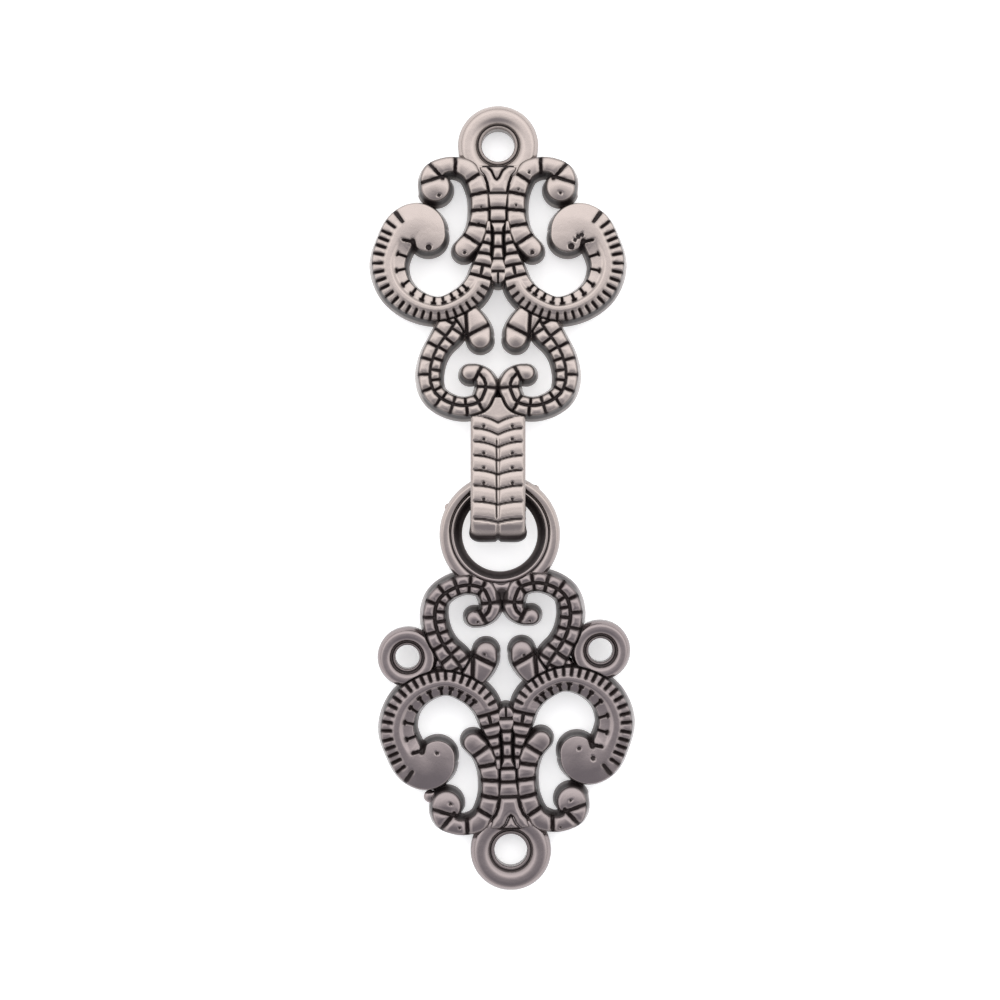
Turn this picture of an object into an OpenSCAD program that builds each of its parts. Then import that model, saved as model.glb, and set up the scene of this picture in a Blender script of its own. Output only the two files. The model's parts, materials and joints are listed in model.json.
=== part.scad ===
// Hook and eye clasp: two cast scrollwork halves, fastened and lying on a surface.
// X runs across the clasp, Y runs along it towards the hook half's sewing loop, Z is up.

/* [Scrollwork] */
// Width over the two big spirals
scroll_w = 20.1; // [16:0.1:26]
// Length that the scroll rows are drawn over, from where the curls meet to the sewing loop
scroll_h = 18.2; // [15:0.1:22]
// Thickness of the casting, from its flat back to the top of the relief
plate_t = 2.2; // [1.9:0.1:3]
// Height of the raised cells and flutes
relief_h = 0.3; // [0.15:0.05:0.5]
// How far the back of each scroll stands out past its face
draft = 0.35; // [0.1:0.05:0.4]
// Width of the grooves between cells
groove_w = 0.24; // [0.16:0.02:0.32]

/* [Sewing loops] */
// Outside diameter of the loop at each end of the clasp
end_loop_d = 6.2; // [5.4:0.1:8]
// Bore of the end loops
end_bore_d = 2.54; // [1.8:0.02:3]
// How far the centre of the hook half's loop stands past its scrollwork
hook_loop_set = 0.3; // [0:0.1:1]
// How far the centre of the eye half's loop stands past its scrollwork
eye_loop_set = 0.7; // [0:0.1:1]
// Outside diameter of the two side loops of the eye half
side_loop_d = 4.6; // [4:0.1:6]
// Bore of the side loops
side_bore_d = 1.86; // [1.4:0.02:2.2]
// How deep each side loop is sunk into the curl that carries it
side_loop_bite = 0.3; // [0.2:0.05:0.6]
// Place of the side loops along the curls, as a share of a curl's length
side_loop_at = 0.16; // [0.1:0.01:0.2]
// Radius of the rounded rims of the bores
bore_rim = 0.42; // [0.3:0.02:0.46]
// Thickness of the loops
loop_t = 1.9; // [1.5:0.1:2.4]

/* [Eye ring] */
// Width of the ring's bar
ring_bar_w = 1.74; // [1.3:0.02:2.2]
// Thickness of the ring
ring_t = 1.7; // [1.4:0.1:2]
// Distance from the meeting curls to the outside of the ring
ring_set = 0.85; // [0.5:0.05:1.2]

/* [Hook] */
// Width of the hook's strap
strap_w = 4.2; // [3:0.1:4.8]
// Thickness of the strap
strap_t = 1.2; // [0.9:0.1:1.5]
// Distance from the meeting curls to the end of the hook
hook_end_y = 12.05; // [11.5:0.05:13]
// Thickness of the bend at the end of the hook
bend_t = 1.2; // [0.9:0.1:1.6]
// Play of the ring between the strap and the tongue
ring_play = 0.45; // [0.35:0.05:0.9]
// Play of the strap from side to side in the ring's opening
strap_play = 1.6; // [1:0.1:2.4]
// Thickness of the tongue
tongue_t = 1.0; // [0.7:0.1:1.4]
// Length of the tongue, from the end of the hook to its tip
tongue_l = 7.15; // [6:0.05:7.6]
// Distance from the end of the hook to the strap's first chevron groove
rib_first = 1.65; // [1.4:0.05:2]
// Distance from one chevron groove of the strap to the next, at the end of the hook
rib_pitch = 1.3; // [1:0.02:1.7]

/* [Fastening] */
// How far the eye half has swung on the hook, in degrees
eye_swing = 2; // [-4:0.1:4]
// How far the ring has slid across the hook
ring_slide = 0.13; // [-0.4:0.01:0.4]
// Distance between the ring's bar and the bend of the hook
ring_back = 2.45; // [0.2:0.05:2.8]
// Gap between the ring and the tongue that it lies on
seat_gap = 0.1; // [0.05:0.01:0.2]

/* [Hidden] */
$fn = 48;

half_w = scroll_w / 2;
face_z = plate_t - relief_h;
edge_r = 0.5;
curve_steps = 3;
wedge_top = 0.02 * scroll_h;
wedge_low = 0.155 * scroll_h;
strap_root = 0.05 * scroll_h;
hook_loop_y = scroll_h + hook_loop_set;
eye_loop_y = scroll_h + eye_loop_set;
throat = ring_t + ring_play;
ring_hole_d = strap_w + strap_play;
ring_d = ring_hole_d + 2 * ring_bar_w;
ring_y = ring_d / 2 + ring_set;
gunmetal = [0.63, 0.57, 0.55];

// Scroll rows, each a place on the middle of a band and the band's width there:
// [distance from the middle line and width, as shares of half the scrollwork's width,
//  distance from the meeting curls as a share of its length]
horn_rows = [
    // x, y, width
    [0.262, 0.572, 0.15],
    [0.187, 0.62, 0.155],
    [0.146, 0.685, 0.148],
    [0.138, 0.76, 0.14],
    [0.152, 0.835, 0.152],
    [0.22, 0.905, 0.145],
    [0.355, 0.93, 0.12],
    [0.47, 0.91, 0.14],
    [0.505, 0.88, 0.17],
    [0.48, 0.835, 0.23],
];
spiral_rows = [
    // x, y, width
    [0.072, 0.68, 0.035],
    [0.08, 0.61, 0.06],
    [0.105, 0.55, 0.095],
    [0.118, 0.495, 0.15],
    [0.16, 0.415, 0.19],
    [0.265, 0.355, 0.19],
    [0.445, 0.315, 0.18],
    [0.635, 0.34, 0.20],
    [0.78, 0.41, 0.23],
    [0.835, 0.51, 0.255],
    [0.78, 0.61, 0.265],
    [0.715, 0.66, 0.295],
    [0.63, 0.68, 0.31],
    [0.56, 0.665, 0.30],
    [0.535, 0.63, 0.27],
];
bud_rows = [
    // x, y, width
    [0.29, 0.30, 0.11],
    [0.205, 0.27, 0.145],
    [0.14, 0.225, 0.16],
    [0.13, 0.19, 0.16],
];
curl_rows = [
    // x, y, width
    [0.39, 0.235, 0.155],
    [0.45, 0.17, 0.17],
    [0.50, 0.11, 0.17],
    [0.525, 0.035, 0.17],
    [0.495, -0.035, 0.155],
    [0.40, -0.08, 0.145],
    [0.27, -0.10, 0.14],
    [0.145, -0.085, 0.145],
    [0.10, -0.045, 0.145],
    [0.085, -0.012, 0.155],
    [0.108, 0.024, 0.14],
    [0.16, 0.043, 0.115],
    [0.215, 0.044, 0.108],
];

// A smooth curve through four rows, t of the way from b to c
function between(a, b, c, d, t) =
    0.5 * (2 * b + (c - a) * t + (2 * a - 5 * b + 4 * c - d) * t * t
        + (3 * b - a - 3 * c + d) * t * t * t);

// The rows of a band in millimetres, filled in smoothly
function traced(rows) =
    let (p = [for (r = rows) [r[0] * half_w, r[1] * scroll_h, r[2] * half_w]])
    let (last = len(p) - 1)
    [
        for (i = [0 : last - 1], k = [0 : curve_steps - 1])
            between(p[max(i - 1, 0)], p[i], p[i + 1], p[min(i + 2, last)], k / curve_steps),
        p[last]
    ];

// Direction of a band at its point i
function heading(p, i) =
    let (d = p[min(i + 1, len(p) - 1)] - p[max(i - 1, 0)])
    [d[0], d[1]] / norm([d[0], d[1]]);

// A point across a band, from its right side at v = -1 to its left side at v = 1
function across(p, i, v) =
    let (h = heading(p, i))
    [p[i][0] - h[1] * v * p[i][2] / 2, p[i][1] + h[0] * v * p[i][2] / 2];

// Distance along a band at each of its points, as a share of its length
function shares(p) =
    let (steps = [for (i = [1 : len(p) - 1]) norm([p[i][0] - p[i - 1][0], p[i][1] - p[i - 1][1]])])
    let (runs = [for (i = 0, s = 0; i < len(p); s = s + (i < len(steps) ? steps[i] : 0), i = i + 1) s])
    runs / runs[len(p) - 1];

// A point across a band at share s of its length
function place(p, marks, s, v) =
    let (at = lookup(s, marks))
    let (i = floor(at), j = min(i + 1, len(p) - 1))
    across(p, i, v) * (1 - at + i) + across(p, j, v) * (at - i);

function marks_of(p) =
    let (run = shares(p))
    [for (i = [0 : len(p) - 1]) [run[i], i]];

horn = traced(horn_rows);
spiral = traced(spiral_rows);
bud = traced(bud_rows);
curl = traced(curl_rows);

// The flat shape of one band, with a round start and end
module band(p, round_start = true) {
    for (i = [0 : len(p) - 2])
        polygon([across(p, i, 1), across(p, i + 1, 1), across(p, i + 1, -1), across(p, i, -1)]);
    last = p[len(p) - 1];
    translate([last[0], last[1]]) circle(d = last[2], $fn = 24);
    if (round_start)
        translate([p[0][0], p[0][1]]) circle(d = p[0][2], $fn = 24);
}

// A straight groove from one point to another
module stroke(a, b, w) {
    d = b - a;
    translate(a) rotate(atan2(d[1], d[0])) translate([0, -w / 2]) square([norm(d), w]);
}

// A groove across a band at share s, from v0 to v1 of its half width
module cross_groove(p, marks, s, v0, v1, lean = 0, w = groove_w) {
    stroke(place(p, marks, s - lean, v0), place(p, marks, s + lean, v1), w);
}

// A groove along a band at v of its half width, from share s0 to s1
module long_groove(p, marks, s0, s1, v, steps = 8) {
    for (k = [0 : steps - 1])
        stroke(
            place(p, marks, s0 + (s1 - s0) * k / steps, v),
            place(p, marks, s0 + (s1 - s0) * (k + 1.15) / steps, v),
            groove_w
        );
}

// The same shape on both sides of the middle line
module both_sides() {
    children();
    mirror([1, 0]) children();
}

// The narrow plate between the horns and spirals
module stem() {
    polygon([
        [-0.13 * half_w, 0.9 * scroll_h], [0.13 * half_w, 0.9 * scroll_h],
        [0.08 * half_w, 0.41 * scroll_h], [-0.08 * half_w, 0.41 * scroll_h],
    ]);
}

// The plate that fills the corner between the curls
module wedge_plate() {
    polygon([[0, -wedge_top], [0.12 * half_w, -wedge_low], [-0.12 * half_w, -wedge_low]]);
}

// Outline of the whole scrollwork, grown by the given amount
module scroll_plan(grow) {
    offset(delta = grow) {
        both_sides() {
            band(horn);
            band(spiral);
            band(bud);
            band(curl);
        }
        stem();
        wedge_plate();
    }
}

// Raised cells of the horns, parted by grooves across the band
module horn_cells() {
    marks = marks_of(horn);
    difference() {
        offset(delta = -groove_w / 2) band(horn);
        for (s = [0.07 : 0.123 : 0.95])
            cross_groove(horn, marks, s, -1.3, 1.3, 0.012);
    }
}

// Raised parts of a big spiral: two columns of cells, then a smooth rib between
// a row of flutes along its outer edge and a row of notches along its inner edge
module spiral_cells() {
    marks = marks_of(spiral);
    difference() {
        offset(delta = -groove_w / 2) band(spiral, false);
        for (s = [0.04 : 0.047 : 0.24])
            cross_groove(spiral, marks, s, -1.3, 1.3, -0.01);
        long_groove(spiral, marks, 0.17, 0.24, 0, 3);
        for (s = [0.26 : 0.03 : 0.9])
            cross_groove(spiral, marks, s, -0.95, -0.3);
        for (s = [0.29 : 0.053 : 0.82])
            cross_groove(spiral, marks, s, 0.4, 1.2);
    }
}

module bud_cells() {
    marks = marks_of(bud);
    difference() {
        offset(delta = -groove_w / 2) band(bud, false);
        band(spiral);
        cross_groove(bud, marks, 0.78, -1.3, 1.3, 0.05);
        cross_groove(bud, marks, 0.3, -1.3, 1.3, -0.1);
    }
}

// Raised cells of a small curl, in an outer row of large ones and an inner row of small ones
module curl_cells() {
    marks = marks_of(curl);
    difference() {
        offset(delta = -groove_w / 2) band(curl, false);
        offset(delta = groove_w / 2) band(spiral);
        long_groove(curl, marks, 0.0, 0.93, -0.1, 14);
        for (s = [0.05 : 0.087 : 0.75])
            cross_groove(curl, marks, s, -0.1, 1.3);
        for (s = [0.05 : 0.075 : 0.95])
            cross_groove(curl, marks, s, -1.3, -0.1);
        cross_groove(curl, marks, 0.86, -0.1, 1.3);
        cross_groove(curl, marks, 0.93, -0.1, 1.3);
    }
}

// Upright cell of the stem, from its lower edge at y0, as shares of the scrollwork
module stem_cell(y0, wide, high) {
    translate([-wide * half_w / 2, y0 * scroll_h]) square([wide * half_w, high * scroll_h]);
}

// Two plates between the horns, and a column of beads between the spirals under them
module stem_cells() {
    translate([0, 0.81 * scroll_h]) polygon([
        [-0.06 * half_w, 0], [0.06 * half_w, 0],
        [0.1 * half_w, 0.085 * scroll_h], [-0.1 * half_w, 0.085 * scroll_h],
    ]);
    for (k = [0 : 1])
        stem_cell(0.752 - 0.057 * k, 0.11, 0.042);
    for (k = [0 : 4])
        stem_cell(0.645 - 0.053 * k, 0.065 + 0.008 * k, 0.04);
}

// A low dome on the rolled end of a band
module dome(p, rise) {
    last = p[len(p) - 1];
    r = last[2] / 2 - groove_w / 2;
    ball_r = (r * r + rise * rise) / (2 * rise);
    translate([last[0], last[1], plate_t - 0.5 * rise]) intersection() {
        cylinder(r = r, h = rise);
        translate([0, 0, rise - ball_r]) sphere(r = ball_r);
    }
}

// One side view of a loop: an upright bore wall with rounded rims, and a rounded outside
function rim_arc(cx, cz, rx, rz, a0, a1, n = 5) =
    [for (k = [0 : n]) let (a = a0 + (a1 - a0) * k / n) [cx + rx * cos(a), cz + rz * sin(a)]];

function loop_profile(outer_r, bore_r, rim, t) =
    let (edge = min(edge_r, t / 3))
    concat(
        rim_arc(bore_r + rim, rim, rim, rim, 180, 270),
        rim_arc(outer_r - edge, edge, edge, edge, -90, 0),
        rim_arc(outer_r - edge, t - edge, edge, edge, 0, 90),
        rim_arc(bore_r + rim, t - rim, rim, rim, 90, 180)
    );

module loop(outer_d, bore_d, t) {
    rim = min(bore_rim, t / 4);
    rotate_extrude() polygon(loop_profile(outer_d / 2, bore_d / 2, rim, t));
}

// The ring of the eye, with a wall that slopes down into its opening
module eye_ring() {
    outer_r = ring_d / 2;
    hole_r = ring_hole_d / 2;
    slope = 0.34 * (outer_r - hole_r);
    rotate_extrude($fn = 72) polygon(concat(
        [[hole_r, 0.35 * ring_t], [hole_r + 0.35 * slope, 0]],
        rim_arc(outer_r - edge_r, edge_r, edge_r, edge_r, -90, 0),
        rim_arc(outer_r - edge_r, ring_t - edge_r, edge_r, edge_r, 0, 90),
        [[hole_r + slope, ring_t]]
    ));
}

// The scrollwork in steps that narrow from its back to its relief, clear of the holes
module scrollwork(holes) {
    difference() {
        union() {
            linear_extrude(0.7 * plate_t) scroll_plan(draft);
            translate([0, 0, 0.5 * plate_t]) linear_extrude(face_z - 0.5 * plate_t)
                scroll_plan(0.3 * draft);
            translate([0, 0, face_z - 0.1]) linear_extrude(relief_h + 0.1) offset(delta = 0) {
                both_sides() {
                    horn_cells();
                    spiral_cells();
                    bud_cells();
                    curl_cells();
                }
                stem_cells();
            }
            for (side = [0, 1]) mirror([side, 0, 0]) {
                dome(horn, 0.35);
                dome(spiral, 0.4);
                dome(bud, 0.35);
                dome(curl, 0.3);
            }
        }
        for (h = holes)
            translate([h[0], h[1], -1]) cylinder(d = h[2], h = plate_t + 2);
    }
}

// A cut that leaves a loop's own wall as the only wall of its hole
function hole_for(x, y, outer_d, bore_d) = [x, y, (outer_d + bore_d) / 2];

// Side view of the strap, the bend and the tongue, as [distance along, height]
strap_z = plate_t - strap_t;
tongue_top = strap_z - throat;
tongue_low = tongue_top - tongue_t;

module rounded_box(x0, y0, x1, y1, r) {
    translate([x0 + r, y0]) square([x1 - x0 - 2 * r, y1 - y0]);
    translate([x0, y0 + r]) square([x1 - x0, y1 - y0 - 2 * r]);
    for (x = [x0 + r, x1 - r], y = [y0 + r, y1 - r])
        translate([x, y]) circle(r = r);
}

module hook_side() {
    tip = tongue_l - hook_end_y;
    difference() {
        rounded_box(-hook_end_y, tongue_low, 0, face_z, 0.36 * (face_z - tongue_low));
        rounded_box(-hook_end_y + bend_t, tongue_top, hook_end_y, strap_z, 0.3 * throat);
        translate([tip, tongue_low - 1]) square([hook_end_y, 1 + strap_z - tongue_low]);
    }
}

// Outline of the hook from above
module hook_plan() {
    rounded_box(-strap_w / 2, -hook_end_y, strap_w / 2, -strap_root, 0.12 * strap_w);
}

// Ribs of the strap, parted by chevron grooves that lie closer towards the curls
module strap_ribs() {
    half = strap_w / 2 - draft / 2;
    drop = 0.09 * strap_w;
    first = rib_first - hook_end_y;
    difference() {
        rounded_box(-half, first - rib_pitch, half, -wedge_low, groove_w);
        for (k = [0 : floor((-wedge_low - first) / rib_pitch) + 1])
            translate([0, first + rib_pitch * k * (1 - 0.02 * k)])
                both_sides() stroke([0, -drop / 2], [strap_w, 1.5 * drop], groove_w);
    }
}

module hook() {
    intersection() {
        translate([-strap_w, 0, 0]) rotate([90, 0, 90]) linear_extrude(2 * strap_w) hook_side();
        translate([0, 0, tongue_low - 1]) linear_extrude(plate_t - tongue_low + 2) hook_plan();
    }
    translate([0, 0, face_z - 0.1]) linear_extrude(relief_h + 0.1) offset(delta = 0) strap_ribs();
}

// The hook half in its own frame, its back on Z = 0 and its tongue below that
module hook_casting() {
    scrollwork([hole_for(0, hook_loop_y, end_loop_d, end_bore_d)]);
    translate([0, hook_loop_y, 0]) loop(end_loop_d, end_bore_d, loop_t);
    hook();
}

// Middle of the side loop, standing out from the curl's outer edge
curl_marks = marks_of(curl);
curl_edge = place(curl, curl_marks, side_loop_at, 1);
curl_out = curl_edge - place(curl, curl_marks, side_loop_at, 0);
side_loop = curl_edge + (side_loop_d / 2 - side_loop_bite) * curl_out / norm(curl_out);

// The eye half in its own frame, its back on Z = 0
module eye_casting() {
    scrollwork([
        hole_for(0, eye_loop_y, end_loop_d, end_bore_d),
        hole_for(side_loop[0], side_loop[1], side_loop_d, side_bore_d),
        hole_for(-side_loop[0], side_loop[1], side_loop_d, side_bore_d),
        [0, -ring_y, 0.8 * ring_d],
    ]);
    translate([0, eye_loop_y, 0]) loop(end_loop_d, end_bore_d, loop_t);
    for (side = [0, 1]) mirror([side, 0, 0])
        translate([side_loop[0], side_loop[1], 0]) loop(side_loop_d, side_bore_d, loop_t);
    translate([0, -ring_y, 0]) eye_ring();
}

// The hook half lies on the outer edge of its loop and on the tip of its tongue
hook_foot = hook_loop_y + end_loop_d / 2 - edge_r;
hook_tip = tongue_l - hook_end_y;
hook_tilt = atan2(-tongue_low, hook_foot - hook_tip);

// The eye half lies on the outer edge of its loop and on the tongue, inside the hook
eye_foot = eye_loop_y + ring_y + end_loop_d / 2 - edge_r;
ring_place = ring_back + bend_t - hook_end_y - ring_hole_d / 2;
// The ring touches first at the tongue's two long edges
seat_y = sqrt(ring_hole_d * ring_hole_d - strap_w * strap_w) / 2;
seat_z = (hook_foot - ring_place - seat_y) * sin(hook_tilt) + tongue_top * cos(hook_tilt);
eye_tilt = atan2(seat_z + seat_gap, eye_foot + seat_y);

// Place of the meeting curls, so that the origin lies under the middle of the clasp
top_end = hook_loop_y + end_loop_d / 2;
low_end = ring_place - ring_y - eye_loop_y - end_loop_d / 2;
mid_x = -((ring_y + scroll_h / 2) * sin(eye_swing) + ring_slide) / 2;
mid_y = -(top_end + low_end) / 2;

module hook_half() {
    color(gunmetal)
        translate([mid_x, mid_y + hook_foot, 0]) rotate([-hook_tilt, 0, 0])
            translate([0, -hook_foot, 0]) hook_casting();
}

module eye_half() {
    color(gunmetal)
        translate([mid_x + ring_slide, mid_y + ring_place, 0]) rotate([0, 0, eye_swing])
            translate([0, -eye_foot, 0]) rotate([eye_tilt, 0, 0]) translate([0, eye_foot, 0])
                rotate([0, 0, 180]) translate([0, ring_y, 0]) eye_casting();
}

hook_half();
eye_half();
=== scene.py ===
"""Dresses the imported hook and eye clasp: two cast scrollwork halves in gunmetal plating with dark patina."""
import json
import math
from types import SimpleNamespace

import bmesh
import bpy
import numpy as np
from bpy.props import FloatProperty, FloatVectorProperty, PointerProperty
from mathutils import Matrix, Vector


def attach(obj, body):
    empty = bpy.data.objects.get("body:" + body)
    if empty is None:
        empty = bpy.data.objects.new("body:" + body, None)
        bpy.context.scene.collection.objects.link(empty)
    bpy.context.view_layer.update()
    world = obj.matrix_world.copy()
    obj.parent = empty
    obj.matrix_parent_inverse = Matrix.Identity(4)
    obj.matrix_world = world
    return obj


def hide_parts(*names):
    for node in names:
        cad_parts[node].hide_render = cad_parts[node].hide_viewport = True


bl_info = {
    "name": "Hook and Eye Clasp",
    "version": (1, 0, 0),
    "blender": (4, 5, 0),
    "location": "3D View > Sidebar > Clasp",
    "description": "Builds the two cast halves of a scrollwork hook and eye clasp on its packed frame",
    "category": "Object",
}

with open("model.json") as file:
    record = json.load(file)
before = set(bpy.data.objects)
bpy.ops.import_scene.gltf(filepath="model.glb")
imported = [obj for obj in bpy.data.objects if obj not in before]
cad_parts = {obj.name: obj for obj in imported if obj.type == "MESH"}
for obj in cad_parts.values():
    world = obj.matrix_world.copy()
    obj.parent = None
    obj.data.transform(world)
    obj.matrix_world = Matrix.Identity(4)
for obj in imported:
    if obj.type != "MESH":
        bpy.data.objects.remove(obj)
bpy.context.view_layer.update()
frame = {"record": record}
MOUNTS = {mount["name"]: mount for mount in frame["record"]["mounts"]}
MM = 0.001
# How far behind the meeting curls the middle of the fastened clasp lies, in millimetres; walls that face it
# are given painted shade
CLASP_MIDDLE = -8.6
# Width of a cutter's block and height of a punch, in millimetres: more than the castings' loops and thickness
CUTTER = 8
# How near the inner edge of a band comes to the middle of a tight bend, as shares of the bend's radius:
# it moves freely up to the first, and past that it closes in by the second at most
BEND_FREE, BEND_EASE = 0.75, 0.22
# Where along Y, in metres, the painted shade on the eye half's plating starts, and over what length it takes
# over: a darker copy of the plating stands in for the shade over that half
PAINTED_SHADE_START, PAINTED_SHADE_BLEND = -0.0015, 0.005
# The shade above the eye half, in degrees: how far it leans from straight up, its edge and its full core
SHADE_LEAN, SHADE_EDGE, SHADE_CORE = 35, 58, 15
# Height of the clasp's face in metres, where the width of the picture is measured
FACE_Z = 0.002

# Scroll rows: distance from the middle line as a share of half the scrollwork's width, distance from
# the meeting curls as a share of its length, and the band's width as a share of half the scrollwork's width
HORN_ROWS = (
    (0.262, 0.572, 0.15),
    (0.187, 0.62, 0.155),
    (0.146, 0.685, 0.148),
    (0.138, 0.76, 0.14),
    (0.152, 0.835, 0.152),
    (0.22, 0.905, 0.145),
    (0.355, 0.93, 0.12),
    (0.47, 0.91, 0.14),
    (0.505, 0.88, 0.17),
    (0.48, 0.835, 0.23),
)
SPIRAL_ROWS = (
    (0.072, 0.68, 0.035),
    (0.08, 0.61, 0.06),
    (0.105, 0.55, 0.095),
    (0.118, 0.495, 0.15),
    (0.16, 0.415, 0.19),
    (0.265, 0.355, 0.19),
    (0.445, 0.315, 0.18),
    (0.635, 0.34, 0.20),
    (0.78, 0.41, 0.23),
    (0.835, 0.51, 0.255),
    (0.78, 0.61, 0.265),
    (0.715, 0.66, 0.295),
    (0.63, 0.68, 0.31),
    (0.56, 0.665, 0.30),
    (0.535, 0.63, 0.27),
)
BUD_ROWS = (
    (0.275, 0.31, 0.15),
    (0.207, 0.272, 0.188),
    (0.154, 0.228, 0.19),
    (0.136, 0.191, 0.168),
)
CURL_ROWS = (
    (0.308, 0.286, 0.17),
    (0.367, 0.229, 0.208),
    (0.446, 0.169, 0.174),
    (0.50, 0.11, 0.17),
    (0.525, 0.035, 0.17),
    (0.495, -0.035, 0.155),
    (0.40, -0.08, 0.145),
    (0.27, -0.10, 0.14),
    (0.145, -0.085, 0.145),
    (0.10, -0.045, 0.145),
    (0.085, -0.012, 0.155),
    (0.108, 0.024, 0.14),
    (0.16, 0.044, 0.122),
    (0.218, 0.045, 0.125),
)
STEM_ROWS = (
    (0.0, 0.96, 0.35),
    (0.0, 0.92, 0.35),
    (0.0, 0.87, 0.235),
    (0.0, 0.81, 0.16),
    (0.0, 0.74, 0.125),
    (0.0, 0.69, 0.12),
    (0.0, 0.655, 0.075),
    (0.0, 0.58, 0.07),
    (0.0, 0.52, 0.09),
    (0.0, 0.475, 0.13),
    (0.0, 0.455, 0.12),
)
EYE_WEDGE_ROWS = (
    (0.0, -0.03, 0.03),
    (0.0, -0.07, 0.09),
    (0.0, -0.11, 0.16),
    (0.0, -0.15, 0.22),
)

# Grooves across the stem: distance from the meeting curls, and half their length, as shares
STEM_GROOVES = (
    (0.806, 0.08),
    (0.743, 0.08),
    (0.685, 0.08),
    (0.636, 0.05),
    (0.578, 0.05),
    (0.527, 0.06),
    (0.473, 0.07),
)
# The notch in the stem's top plate: place across, and distance below the plate's top, as shares
STEM_NOTCH = (
    (-0.092, 0.001),
    (-0.05, 0.024),
    (-0.026, 0.054),
    (-0.011, 0.062),
    (0.008, 0.052),
    (0.034, 0.022),
    (0.08, 0.002),
)

# Pits of the two castings: place as shares of the half width and the length, and radius in millimetres
HOOK_PITS = (
    (-0.146, 0.675, 0.13),
    (-0.194, 0.604, 0.12),
    (-0.255, 0.552, 0.17),
    (0.261, 0.553, 0.2),
    (-0.056, 0.444, 0.13),
    (-0.126, 0.747, 0.1),
    (0.238, 0.893, 0.13),
    (0.157, 0.821, 0.11),
    (0.138, 0.753, 0.11),
    (-0.529, 0.575, 0.26),
    (-0.452, 0.796, 0.16),
    (0.478, 0.806, 0.16),
    (0.559, 0.579, 0.28),
    (0.588, 0.605, 0.18),
    (0.613, 0.62, 0.22),
    (0.64, 0.627, 0.2),
)
EYE_PITS = (
    (0.537, 0.609, 0.16),
    (-0.548, 0.61, 0.17),
    (-0.652, 0.652, 0.22),
    (0.146, 0.197, 0.14),
    (-0.15, 0.206, 0.14),
    (0.45, 0.826, 0.15),
    (-0.47, 0.828, 0.15),
    (0.386, 0.93, 0.12),
    (-0.387, 0.941, 0.12),
    (0.191, 0.06, 0.12),
    (-0.207, 0.062, 0.12),
)
# The hollow in front of the eye half's curls, where the ring's bar is sunk, darkened as painted shade
EYE_HOLLOW = ((0.0, -0.05, 0.55), (0.0, -0.03, 0.5))

# Burrs at the edges of the castings: place as shares, height, radius in millimetres, and flatness
HOOK_BURRS = ((0.196, -0.531, 1.5, 0.2, 0.6), (0.196, -0.569, 1.5, 0.16, 0.6))
EYE_BURRS = (
    (0.511, 0.241, 0.55, 0.6, 0.6),
    (-0.491, 0.263, 0.55, 0.6, 0.6),
    (0.605, 0.8, 0.9, 0.5, 0.6),
    (-0.281, -0.487, 1.1, 0.36, 0.6),
    (0.385, -0.425, 1.1, 0.3, 0.6),
)


def length(name, text, millimetres):
    """A size that a user may change, held in metres as Blender holds lengths."""
    return FloatProperty(name=name, description=text, default=millimetres * MM, unit="LENGTH", precision=4)


def amount(name, text, default):
    """A plain number, not below 0, that a user may change."""
    return FloatProperty(name=name, description=text, default=default, min=0)


def colour(name, text, default):
    """A colour that a user may change."""
    return FloatVectorProperty(
        name=name, description=text, default=default, size=3, min=0, max=1, subtype="COLOR"
    )


class ClaspScrollSizes(bpy.types.PropertyGroup):
    """Sizes of the scrollwork that both halves share."""

    scroll_w: length("Scroll width", "Width over the two big spirals", 20.1)
    scroll_h: length("Scroll length", "Length that the scroll rows are drawn over", 18.2)
    plate_t: length("Thickness", "From the flat back to the top of the relief", 2.2)
    draft: length("Draft", "How far the back stands out past the face", 0.28)
    crown: length("Crown", "How far the middle of a band stands above its edges", 0.11)
    groove_w: length("Groove width", "Width of an engraved groove at the surface", 0.32)
    groove_d: length("Groove depth", "Depth of an engraved groove", 0.3)
    edge_w: length("Edge width", "How wide the rounded edge of a band is", 0.24)
    edge_d: length("Edge drop", "How far the rounded edge of a band falls", 0.24)
    pillow: length("Pillow", "How far a cell rises from its grooves to its middle", 0.07)
    eye_crown: length("Eye crown", "How far the middle of the eye half's bands stands above the edges", 0.15)
    eye_pillow: length("Eye pillow", "How far a cell of the eye half rises to its middle", 0.12)
    eye_groove_w: length("Eye groove width", "Width of an engraved groove of the eye half", 0.365)
    pitch: length("Mesh pitch", "Distance between the sections of a band", 0.075)


class ClaspLoopSizes(bpy.types.PropertyGroup):
    """Sizes of the sewing loops and the ring of the eye."""

    loop_t: length("Loop thickness", "Thickness of the sewing loops", 1.9)
    end_loop_d: length("End loop", "Outside diameter of the loop at each end of the clasp", 6.2)
    side_loop_d: length("Side loop", "Outside diameter of the two side loops", 4.6)
    hook_loop_set: length("Hook loop distance", "From the hook half's scrolls to the middle of its loop", 0.3)
    eye_loop_set: length("Eye loop distance", "From the eye half's scrolls to the middle of its loop", 0.7)
    lip_w: length("Lip width", "Width of the thin lip round the bore of an end loop", 0.31)
    side_lip_w: length("Side lip width", "Width of the thin lip round the bore of a side loop", 0.24)
    ring_t: length("Ring thickness", "Thickness of the eye ring", 1.7)
    ring_d: length("Ring diameter", "Outside diameter of the eye ring", 9.28)
    ring_hole_d: length("Ring opening", "Opening of the eye ring", 5.8)
    ring_set: length("Ring distance", "Distance from the meeting curls to the ring", 0.85)


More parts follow.
